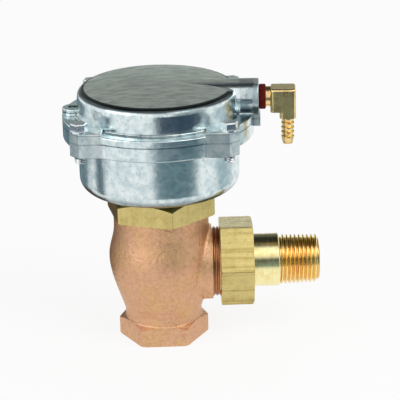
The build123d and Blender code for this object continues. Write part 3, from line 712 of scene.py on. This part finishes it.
class Tree(Graph):
    """A Geometry Nodes tree with named inputs, and the mesh that it makes."""

    def __init__(self, name: str, sizes: Dict[str, Tuple[str, Input]]) -> None:
        """Make the tree.

        Args:
            name: The tree's name.
            sizes: Each input's name, with its socket type and its value.
        """
        super().__init__(bpy.data.node_groups.new(name, "GeometryNodeTree"))
        self.sizes = sizes
        face = self.tree.interface
        face.new_socket("Geometry", in_out="INPUT", socket_type="NodeSocketGeometry")
        face.new_socket("Geometry", in_out="OUTPUT", socket_type="NodeSocketGeometry")
        for label, (kind, _) in sizes.items():
            face.new_socket(label, in_out="INPUT", socket_type=kind)
        self.entry = self.tree.nodes.new("NodeGroupInput")

    def size(self, label: str) -> Wire:
        """One of the tree's named inputs."""
        return Wire(self, self.entry.outputs[label])

    def finish(self, geometry: Wire) -> None:
        """End the tree: real geometry with its material.

        Args:
            geometry: What the tree has made.
        """
        real = self.node("GeometryNodeRealizeInstances", {}, {"Geometry": geometry})
        inputs = {"Geometry": real, "Material": self.size("Material")}
        painted = self.node("GeometryNodeSetMaterial", {}, inputs)
        output = self.tree.nodes.new("NodeGroupOutput")
        self.feed(output.inputs[0], painted)

    def spiral(self, steps: Input, turns: Input, first: Input, last: Input, height: Input) -> Wire:
        """Add a spiral round Z whose sections stay upright.

        Args:
            steps: Points in a turn.
            turns: The number of turns.
            first: The radius at the start.
            last: The radius at the end.
            height: The height at the end.

        Returns:
            The curve.
        """
        inputs = {
            "Resolution": steps,
            "Rotations": turns,
            "Start Radius": first,
            "End Radius": last,
            "Height": height,
            "Reverse": False,
        }
        curve = self.node("GeometryNodeCurveSpiral", {}, inputs)
        return self.node("GeometryNodeSetCurveNormal", {"mode": "Z_UP"}, {"Curve": curve})

    def sweep(self, curve: Wire, profile: Wire) -> Wire:
        """Sweep a profile along a curve and close its ends."""
        inputs = {"Curve": curve, "Profile Curve": profile, "Fill Caps": True}
        return self.node("GeometryNodeCurveToMesh", {}, inputs)

    def bake(self, name: str, points: Sequence[Place] = ((0.0, 0.0, 0.0),)) -> bpy.types.Object:
        """Run the tree on a few points and keep its mesh as a plain object.

        Args:
            name: The new object's name.
            points: The points that the tree starts from.

        Returns:
            The object, at the origin, with its faces pointing outwards.
        """
        seed = bpy.data.meshes.new(name + "_points")
        seed.from_pydata([Vector(p) for p in points], [], [])
        carrier = bpy.data.objects.new(name + "_carrier", seed)
        bpy.context.scene.collection.objects.link(carrier)
        modifier = carrier.modifiers.new("tree", "NODES")
        modifier.node_group = self.tree
        for item in self.tree.interface.items_tree:
            if item.in_out == "INPUT" and item.name in self.sizes:
                modifier[item.identifier] = self.sizes[item.name][1]
        graph = bpy.context.evaluated_depsgraph_get()
        mesh = bpy.data.meshes.new_from_object(carrier.evaluated_get(graph))
        carrier.modifiers.remove(modifier)
        bpy.data.objects.remove(carrier)
        mesh.name = name
        return place_mesh(name, turn_outwards(mesh))


def turn_outwards(mesh: bpy.types.Mesh) -> bpy.types.Mesh:
    """Merge a mesh's doubles, point its faces outwards and shade it smooth but for sharp edges.

    Args:
        mesh: The mesh, which is changed in place.

    Returns:
        The same mesh.
    """
    work = bmesh.new()
    work.from_mesh(mesh)
    bmesh.ops.remove_doubles(work, verts=work.verts, dist=MERGE_DISTANCE)
    bmesh.ops.recalc_face_normals(work, faces=work.faces)
    work.to_mesh(mesh)
    work.free()
    mesh.shade_smooth()
    mesh.set_sharp_from_angle(angle=math.radians(SHARP_ANGLE))
    return mesh


def place_mesh(name: str, mesh: bpy.types.Mesh) -> bpy.types.Object:
    """Put a mesh into the scene as an object at the origin.

    Args:
        name: The object's name.
        mesh: Its mesh.

    Returns:
        The object.
    """
    made = bpy.data.objects.new(name, mesh)
    bpy.context.scene.collection.objects.link(made)
    return made


def fit(piece: bpy.types.Object, body: str) -> bpy.types.Object:
    """Make a piece ride on a body.

    Args:
        piece: The piece.
        body: The body that it rides on.

    Returns:
        The piece.
    """
    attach(piece, body)
    LOG.info("piece %s rides on %s, %d faces", piece.name, body, len(piece.data.polygons))
    return piece


def lathe(
    name: str,
    outline: Sequence[Tuple[float, float]],
    origin: Vector,
    axis: Vector,
    steps: int,
) -> bpy.types.Mesh:
    """Turn a closed outline round an axis.

    Args:
        name: The mesh's name.
        outline: Points as distance along the axis and radius, in metres.
        origin: A point on the axis, from which the distances run.
        axis: The axis's direction.
        steps: Faces round the axis.

    Returns:
        The closed mesh.
    """
    along = axis.normalized()
    side = along.orthogonal().normalized()
    other = along.cross(side)
    work = bmesh.new()
    rings: List[List[bmesh.types.BMVert]] = []
    for step in range(steps):
        angle = 2 * math.pi * step / steps
        outward = side * math.cos(angle) + other * math.sin(angle)
        points = [origin + along * far + outward * radius for far, radius in outline]
        rings.append([work.verts.new(point) for point in points])
    for step, ring in enumerate(rings):
        following = rings[(step + 1) % steps]
        for place in range(len(outline)):
            after = (place + 1) % len(outline)
            work.faces.new((ring[place], ring[after], following[after], following[place]))
    mesh = bpy.data.meshes.new(name)
    work.to_mesh(mesh)
    work.free()
    return turn_outwards(mesh)


def ridge_profile(tree: Tree, depth: Input, pitch: Input, foot: float, crest: float) -> Wire:
    """Add the section of a thread's ridge, wide at its foot and flat at its crest.

    Args:
        tree: The tree that it goes into.
        depth: How far the crest stands off the root.
        pitch: The thread's pitch.
        foot: Half the foot's width, as a share of the pitch.
        crest: Half the crest's width, as a share of the pitch.

    Returns:
        The closed curve.
    """
    sunk = depth * ROOT_OVERLAP
    out = depth * -1.0
    rise = [(sunk, pitch * -foot), (out, pitch * -crest)]
    fall = [(out, pitch * crest), (sunk, pitch * foot)]
    corners = rise + fall
    points = {}
    for number, (across, along) in enumerate(corners, start=1):
        points[f"Point {number}"] = tree.node("ShaderNodeCombineXYZ", {}, {0: across, 1: along})
    return tree.node("GeometryNodeCurvePrimitiveQuadrilateral", {"mode": "POINTS"}, points)


@dataclass
class Thread:
    """One helical thread ridge, made by Geometry Nodes."""

    name: str
    start: Place
    axis: Place
    radius: float
    length: float
    pitch: float
    depth: float
    finish: Finish
    taper: float = 0.0
    fade_turns: float = 0.4
    per_turn: int = 56
    foot: float = 0.46
    crest: float = 0.13

    def tree(self, paints: Paints) -> Tree:
        """Build the tree of the ridge.

        Args:
            paints: The finishes.

        Returns:
            The tree, with the ridge's sizes as its inputs.
        """
        turns = self.length / self.pitch
        lean = Vector((0, 0, 1)).rotation_difference(Vector(self.axis)).to_euler()
        tree = Tree(
            self.name + "_tree",
            {
                "Start": ("NodeSocketVector", tuple(c * MM for c in self.start)),
                "Lean": ("NodeSocketVector", tuple(lean)),
                "First Radius": ("NodeSocketFloat", self.radius * MM),
                "Last Radius": ("NodeSocketFloat", (self.radius - self.taper * self.length) * MM),
                "Turns": ("NodeSocketFloat", turns),
                "Steps": ("NodeSocketInt", self.per_turn),
                "Length": ("NodeSocketFloat", self.length * MM),
                "Depth": ("NodeSocketFloat", self.depth * MM),
                "Pitch": ("NodeSocketFloat", self.pitch * MM),
                "Fade Turns": ("NodeSocketFloat", self.fade_turns),
                "Material": ("NodeSocketMaterial", paints.get(self.finish)),
            },
        )
        names = ("Steps", "Turns", "First Radius", "Last Radius", "Length")
        spiral = tree.spiral(*(tree.size(name) for name in names))
        share = tree.node("GeometryNodeSplineParameter", {}, {}, "Factor")
        nearest = share.maths("MINIMUM", share, 1 - share)
        near_end = nearest * tree.size("Turns") / tree.size("Fade Turns")
        fade = near_end.maths("MINIMUM", near_end, 1.0)
        faded = tree.node("GeometryNodeSetCurveRadius", {}, {"Curve": spiral, "Radius": fade})
        ridge = ridge_profile(tree, tree.size("Depth"), tree.size("Pitch"), self.foot, self.crest)
        moves = {
            "Geometry": tree.sweep(faded, ridge),
            "Translation": tree.size("Start"),
            "Rotation": tree.size("Lean"),
        }
        tree.finish(tree.node("GeometryNodeTransform", {}, moves))
        return tree

    def build(self, paints: Paints, body: str, slot: str) -> bpy.types.Object:
        """Make the ridge and fit it to its body.

        Args:
            paints: The finishes.
            body: The body that it rides on.
            slot: The record's material slot; not used.

        Returns:
            The ridge.
        """
        return fit(self.tree(paints).bake(self.name), body)


@dataclass
class Body:
    """The bronze angle body: its union thread and the thread in its inlet."""

    union_start: float = 22.3
    union_length: float = 3.2
    union_root: float = 14.65
    union_depth: float = 0.75
    union_pitch: float = 1.5
    inlet_start: float = 1.1
    inlet_radius: float = 10.3
    inlet_length: float = 11.4
    inlet_depth: float = -0.95

    def build(self, paints: Paints) -> None:
        """Make the body's threads.

        Args:
            paints: The finishes.
        """
        union = Thread(
            "union_thread",
            (self.union_start, 0.0, OUTLET_LEVEL),
            ALONG_X,
            self.union_root,
            self.union_length,
            self.union_pitch,
            self.union_depth,
            Finish.UNION_THREAD,
        )
        union.build(paints, "valve", "cast_bronze")
        inlet = Thread(
            "inlet_thread",
            (0.0, 0.0, self.inlet_start),
            ALONG_Z,
            self.inlet_radius,
            self.inlet_length,
            PIPE_PITCH,
            self.inlet_depth,
            Finish.CAST_BRONZE,
            taper=PIPE_TAPER,
        )
        inlet.build(paints, "valve", "cast_bronze")


@dataclass
class Outlet:
    """The outlet's tapered pipe thread."""

    thread_start: float = 52.3
    thread_length: float = 15.8
    root: float = 9.8
    depth: float = 1.25
    fade_turns: float = 0.15

    def build(self, paints: Paints) -> None:
        """Make the pipe thread on the tailpiece."""
        pipe = Thread(
            "pipe_thread",
            (self.thread_start, 0.0, OUTLET_LEVEL),
            ALONG_X,
            self.root,
            self.thread_length,
            PIPE_PITCH,
            self.depth,
            Finish.THREAD_BRASS,
            taper=PIPE_TAPER,
            fade_turns=self.fade_turns,
        )
        pipe.build(paints, "valve", "turned_brass")


@dataclass
class Actuator:
    """Screw washers and threads, and the seal at the air port."""

    turn: float = -3.4
    screw_offset: float = 31.2
    ear_top: float = 105.1
    washer_radius: float = 3.9
    washer_height: float = 0.7
    washer_sides: int = 32
    screw_root: float = 2.05
    screw_depth: float = 0.28
    screw_pitch: float = 0.8
    screw_foot: float = 0.46
    screw_crest: float = 0.06
    tip_start: float = 91.7
    tip_length: float = 2.4
    tip_steps: int = 20
    air_level: float = 109.6
    seal_start: float = 43.4
    seal_width: float = 3.0
    seal_outer: float = 5.4
    seal_inner: float = 4.45
    seal_round: float = 0.7
    seal_steps: int = 64
    corner_steps: int = 4

    def turned(self, along: float, across: float, level: float) -> Place:
        """A point of the actuator in metres, from millimetres along and across its air boss.

        Args:
            along: Millimetres from the stem's axis along the boss.
            across: Millimetres across it.
            level: Millimetres above the inlet.

        Returns:
            The point.
        """
        angle = math.radians(self.turn)
        x = along * math.cos(angle) - across * math.sin(angle)
        y = along * math.sin(angle) + across * math.cos(angle)
        return (x * MM, y * MM, level * MM)

    def screw_tree(self, paints: Paints) -> Tree:
        """Build the tree that puts a washer and a threaded tip at every screw.

        Args:
            paints: The finishes.

        Returns:
            The tree.
        """
        tree = Tree(
            "screw_details_tree",
            {
                "Washer Radius": ("NodeSocketFloat", self.washer_radius * MM),
                "Washer Height": ("NodeSocketFloat", self.washer_height * MM),
                "Root Radius": ("NodeSocketFloat", self.screw_root * MM),
                "Depth": ("NodeSocketFloat", self.screw_depth * MM),
                "Pitch": ("NodeSocketFloat", self.screw_pitch * MM),
                "Tip Length": ("NodeSocketFloat", self.tip_length * MM),
                "Tip Drop": ("NodeSocketFloat", (self.ear_top - self.tip_start) * MM),
                "Material": ("NodeSocketMaterial", paints.get(Finish.SCREW)),
            },
        )
        height = tree.size("Washer Height")
        sizes = {"Vertices": self.washer_sides, "Radius": tree.size("Washer Radius"), "Depth": height}
        disc = tree.node("GeometryNodeMeshCylinder", {}, sizes)
        lift = tree.node("ShaderNodeCombineXYZ", {}, {2: height * 0.5})
        washer = tree.node("GeometryNodeTransform", {}, {"Geometry": disc, "Translation": lift})
        root, length, pitch = (tree.size(name) for name in ("Root Radius", "Tip Length", "Pitch"))
        spiral = tree.spiral(self.tip_steps, length / pitch, root, root, length)
        ridge = ridge_profile(tree, tree.size("Depth"), pitch, self.screw_foot, self.screw_crest)
        drop = tree.node("ShaderNodeCombineXYZ", {}, {2: 0.0 - tree.size("Tip Drop")})
        moves = {"Geometry": tree.sweep(spiral, ridge), "Translation": drop}
        tip = tree.node("GeometryNodeTransform", {}, moves)
        both = tree.tree.nodes.new("GeometryNodeJoinGeometry")
        for part in (washer, tip):
            tree.tree.links.new(part.socket, both.inputs[0])
        points = tree.node("GeometryNodeMeshToPoints", {}, {"Mesh": tree.size("Geometry")})
        inputs = {"Points": points, "Instance": Wire(tree, both.outputs[0])}
        tree.finish(tree.node("GeometryNodeInstanceOnPoints", {}, inputs))
        return tree

    def screws(self, paints: Paints) -> None:
        """Make the washers and threaded tips of the four cover screws.

        Args:
            paints: The finishes.
        """
        signs = [(1, 1), (1, -1), (-1, 1), (-1, -1)]
        reach = self.screw_offset
        places = [self.turned(a * reach, b * reach, self.ear_top) for a, b in signs]
        details = self.screw_tree(paints).bake("screw_details", places)
        fit(details, "valve")

    def seal(self, paints: Paints) -> None:
        """Make the red seal ring, rounded at its edges, in place of the plain one.

        Args:
            paints: The finishes.
        """
        start = Vector(self.turned(self.seal_start, 0.0, self.air_level))
        axis = Vector(self.turned(1.0, 0.0, 0.0))
        inset = self.seal_round
        corners = [
            (self.seal_width - inset, self.seal_outer - inset),
            (inset, self.seal_outer - inset),
        ]
        outline = [(0.0, self.seal_inner), (self.seal_width, self.seal_inner)]
        for index, (far, radius) in enumerate(corners):
            for step in range(self.corner_steps + 1):
                angle = math.radians(90 * (index + step / self.corner_steps))
                outline.append((far + inset * math.cos(angle), radius + inset * math.sin(angle)))
        metres = [(far * MM, radius * MM) for far, radius in outline]
        mesh = lathe("seal_ring", metres, start, axis, self.seal_steps)
        mesh.materials.append(paints.get(Finish.SEAL))
        ring = fit(place_mesh("seal_ring", mesh), "valve")
        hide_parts("elbow_seal")

    def build(self, paints: Paints) -> None:
        """Make the actuator's pieces."""
        self.screws(paints)
        self.seal(paints)


@dataclass
class SoftParts:
    """The return spring and the diaphragm, which in the valve change shape as the stem moves, copied
    as pieces of their own.
    """

    travel: float = 4.5
    spring_foot: float = 73.8
    spring_top: float = 99.75
    rim_level: float = 101.6
    plate_level: float = 102.2

    def soft_copy(self, node: str, paints: Paints) -> bpy.types.Object:
        """Copy a CAD node's mesh as a piece of its own, and hide the node.

        Args:
            node: The CAD node.
            paints: The finishes.

        Returns:
            The copy.
        """
        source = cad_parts[node]
        mesh = source.data.copy()
        mesh.transform(source.matrix_world)
        mesh.materials.clear()
        mesh.materials.append(paints.get(FINISHES[node]))
        piece = place_mesh(f"{node}_soft", turn_outwards(mesh))
        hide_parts(node)
        LOG.info("piece %s changes shape, %d faces", piece.name, len(piece.data.polygons))
        return piece

    def build(self, paints: Paints) -> None:
        """Copy the spring onto the valve's body and the diaphragm in place, with its transform baked
        into the mesh.

        Args:
            paints: The finishes.
        """
        spring = self.soft_copy("return_spring", paints)
        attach(spring, "valve")
        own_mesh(spring)
        diaphragm = self.soft_copy("diaphragm", paints)
        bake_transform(diaphragm)


@dataclass(frozen=True)
class Lamp:
    """A soft square lamp that faces the valve."""

    name: str
    azimuth: float
    elevation: float
    distance: float
    size: float
    power: float


@dataclass(frozen=True)
class Card:
    """A dark or grey card beside the valve that only reflections see, as is usual for metal."""

    name: str
    azimuth: float
    elevation: float
    distance: float
    width: float
    height: float
    shade: Colour
    soft: float = 0.3


def studio_place(azimuth: float, elevation: float, distance: float, target: Vector) -> Vector:
    """A place round the valve.

    Args:
        azimuth: Degrees round from the front towards the right.
        elevation: Degrees above the horizon.
        distance: Metres from the target.
        target: The point looked at.

    Returns:
        The place.
    """
    a = math.radians(azimuth)
    e = math.radians(elevation)
    outward = Vector((math.sin(a) * math.cos(e), -math.cos(a) * math.cos(e), math.sin(e)))
    return target + outward * distance


def bare_material(name: str) -> Tuple[bpy.types.Material, Graph]:
    """Make a material with an empty tree.

    Args:
        name: The material's name.

    Returns:
        The material and its graph.
    """
    material = bpy.data.materials.new(name)
    material.use_nodes = True
    graph = Graph(material.node_tree)
    graph.tree.nodes.clear()
    return material, graph


def end_graph(graph: Graph, kind: str, shader: Wire) -> None:
    """Feed a shader to a new output node."""
    graph.feed(graph.tree.nodes.new(kind).inputs[0], shader)


@dataclass
class Studio:
    """Camera, lamps, cards, floor and background."""

    target: Place = (0.01725, 0.0, 0.0621)
    azimuth: float = -1.35
    elevation: float = 20.65
    roll: float = -1.29
    distance: float = 0.826
    focal_pixels: float = 1888.0
    photo_pixels: float = 400.0
    sensor: float = 36.0
    clip: Tuple[float, float] = (0.01, 50.0)
    floor_reach: float = 3.0
    floor_paper: Colour = (0.9, 0.9, 0.9, 1.0)
    floor_glow: float = 0.86
    world_light: float = 0.55
    lamps: Tuple[Lamp, ...] = (
        Lamp("key_lamp", 50.0, 42.0, 0.95, 0.66, 4.0),
        Lamp("fill_lamp", -58.0, 34.0, 1.0, 0.7, 2.0),
        Lamp("back_lamp", 176.0, 9.0, 1.0, 0.6, 1.4),
    )
    cards: Tuple[Card, ...] = (
        Card("front_low_card", 17.0, -11.8, 0.175, 0.24, 0.055, tint(98, 126, 134), 0.4),
        Card("front_card", 24.0, 8.7, 0.172, 0.28, 0.065, tint(40, 62, 82), 0.4),
        Card("strip_card", -86.0, -8.0, 0.17, 0.055, 0.09, tint(70, 98, 110), 0.5),
        Card("left_high_card", -110.0, 0.0, 0.15, 0.14, 0.024, tint(56, 80, 94), 0.4),
        Card("left_card", -136.0, -5.0, 0.13, 0.16, 0.1, tint(112, 130, 138)),
        Card("right_card", 96.0, -5.0, 0.155, 0.14, 0.1, tint(186, 202, 206), 0.6),
        Card("low_left_card", -126.0, -27.0, 0.098, 0.1, 0.05, tint(92, 80, 72), 0.4),
        Card("back_low_card", 180.0, 12.5, 0.5, 0.9, 0.16, tint(158, 168, 166)),
        Card("back_card", 180.0, 31.0, 0.5, 0.9, 0.18, tint(120, 130, 128)),
        Card("over_card", 180.0, 71.0, 0.5, 0.9, 0.62, tint(46, 54, 58)),
        Card("near_right_card", 45.0, 25.0, 0.6, 0.7, 0.36, tint(150, 160, 158), 0.4),
    )

    def camera(self) -> None:
        """Put the camera where the photograph was taken from."""
        target = Vector(self.target)
        place = studio_place(self.azimuth, self.elevation, self.distance, target)
        back = (place - target).normalized()
        right = Vector((0, 0, 1)).cross(back).normalized()
        up = back.cross(right)
        lean = math.radians(self.roll)
        across = right * math.cos(lean) + up * math.sin(lean)
        upward = up * math.cos(lean) - right * math.sin(lean)
        data = bpy.data.cameras.new("photo_camera")
        data.sensor_width = self.sensor
        data.lens = self.focal_pixels * self.sensor / self.photo_pixels
        data.clip_start, data.clip_end = self.clip
        camera = bpy.data.objects.new("photo_camera", data)
        turn = Matrix((across, upward, back)).transposed()
        camera.matrix_world = Matrix.Translation(place) @ turn.to_4x4()
        bpy.context.scene.collection.objects.link(camera)
        bpy.context.scene.camera = camera

    def light(self, lamp: Lamp) -> None:
        """Hang one lamp.

        Args:
            lamp: Its place, size and power.
        """
        target = Vector(self.target)
        data = bpy.data.lights.new(lamp.name, "AREA")
        data.size = lamp.size
        data.energy = lamp.power
        made = bpy.data.objects.new(lamp.name, data)
        made.location = studio_place(lamp.azimuth, lamp.elevation, lamp.distance, target)
        made.rotation_mode = "QUATERNION"
        made.rotation_quaternion = (made.location - target).to_track_quat("Z", "Y")
        bpy.context.scene.collection.objects.link(made)

    def card_material(self, card: Card, place: Vector, across: Vector) -> bpy.types.Material:
        """Make a card's material, which fades towards its two sides.

        Args:
            card: The card.
            place: The card's middle.
            across: The direction of its width.

        Returns:
            The material.
        """
        material, graph = bare_material(card.name)
        glow = graph.node("ShaderNodeEmission", {}, {"Color": card.shade, "Strength": 1.0})
        clear = graph.node("ShaderNodeBsdfTransparent", {}, {})
        spot = graph.node("ShaderNodeTexCoord", {}, {}, "Object")
        offset = graph.node("ShaderNodeVectorMath", {"operation": "SUBTRACT"}, {0: spot, 1: place})
        project = {"operation": "DOT_PRODUCT"}
        along = graph.node("ShaderNodeVectorMath", project, {0: offset, 1: across}, "Value")
        edge = along.absolute() / (card.width / 2)
        fade = edge.above(1 - card.soft / 2, card.soft)
        shader = graph.node("ShaderNodeMixShader", {}, {0: fade, 1: glow, 2: clear})
        end_graph(graph, "ShaderNodeOutputMaterial", shader)
        return material

    def hang_card(self, card: Card) -> None:
        """Stand one card that only reflections see.

        Args:
            card: Its place, size and shade.
        """
        target = Vector(self.target)
        place = studio_place(card.azimuth, card.elevation, card.distance, target)
        turn = (place - target).to_track_quat("Z", "Y")
        signs = ((-1, -1), (1, -1), (1, 1), (-1, 1))
        corners = [Vector((x * card.width / 2, y * card.height / 2, 0)) for x, y in signs]
        mesh = bpy.data.meshes.new(card.name)
        mesh.from_pydata([place + turn @ corner for corner in corners], [], [(0, 1, 2, 3)])
        mesh.materials.append(self.card_material(card, place, turn @ Vector(ALONG_X)))
        made = place_mesh(card.name, mesh)
        made.visible_camera = False
        made.visible_diffuse = False
        made.visible_shadow = False
        made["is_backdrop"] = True

    def seen_as_background(self, graph: Graph) -> Wire:
        """1 for the rays that should see a white background: camera, glossy and transmission.

        Args:
            graph: The graph of the floor's or the world's material.

        Returns:
            The mask.
        """
        rays = graph.tree.nodes.new("ShaderNodeLightPath")
        names = ("Is Camera Ray", "Is Glossy Ray", "Is Transmission Ray")
        camera, glossy, through = (Wire(graph, rays.outputs[name]) for name in names)
        seen = camera.maths("MAXIMUM", camera, glossy)
        return seen.maths("MAXIMUM", seen, through)

    def floor(self) -> None:
        """Lay a pale floor that stays white but keeps the valve's shadow."""
        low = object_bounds()[0].z
        far = self.floor_reach
        mesh = bpy.data.meshes.new("floor")
        corners = [(-far, -far, low), (far, -far, low), (far, far, low), (-far, far, low)]
        mesh.from_pydata(corners, [], [(0, 1, 2, 3)])
        material, graph = bare_material("floor_white")
        paper = graph.node("ShaderNodeBsdfDiffuse", {}, {"Color": self.floor_paper})
        glow = graph.node("ShaderNodeEmission", {}, {"Color": WHITE, "Strength": 1.0})
        share = self.seen_as_background(graph) * self.floor_glow
        shader = graph.node("ShaderNodeMixShader", {}, {0: share, 1: paper, 2: glow})
        end_graph(graph, "ShaderNodeOutputMaterial", shader)
        mesh.materials.append(material)
        place_mesh("floor", mesh)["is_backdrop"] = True

    def world(self) -> None:
        """Make the background white for what sees it, and a plain grey light for the rest."""
        world = bpy.data.worlds.new("studio")
        world.use_nodes = True
        graph = Graph(world.node_tree)
        graph.tree.nodes.clear()
        strength = self.world_light + self.seen_as_background(graph) * (1 - self.world_light)
        white = graph.node("ShaderNodeBackground", {}, {"Color": WHITE, "Strength": strength})
        end_graph(graph, "ShaderNodeOutputWorld", white)
        bpy.context.scene.world = world

    def build(self) -> None:
        """Set the whole studio up."""
        self.camera()
        for lamp in self.lamps:
            self.light(lamp)
        for card in self.cards:
            self.hang_card(card)
        self.floor()
        self.world()
        bpy.context.scene.view_settings.view_transform = "Standard"


def main() -> None:
    """Dress the valve, add its threads and small and soft pieces, and set the studio up."""
    logging.basicConfig(level=logging.INFO, format="%(message)s")
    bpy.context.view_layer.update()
    paints = Paints()
    for name in FINISHES:
        paints.dress_node(name)
    for assembly in (Body(), Outlet(), Actuator(), SoftParts()):
        assembly.build(paints)
    Studio().build()


if __name__ == "__main__":
    main()
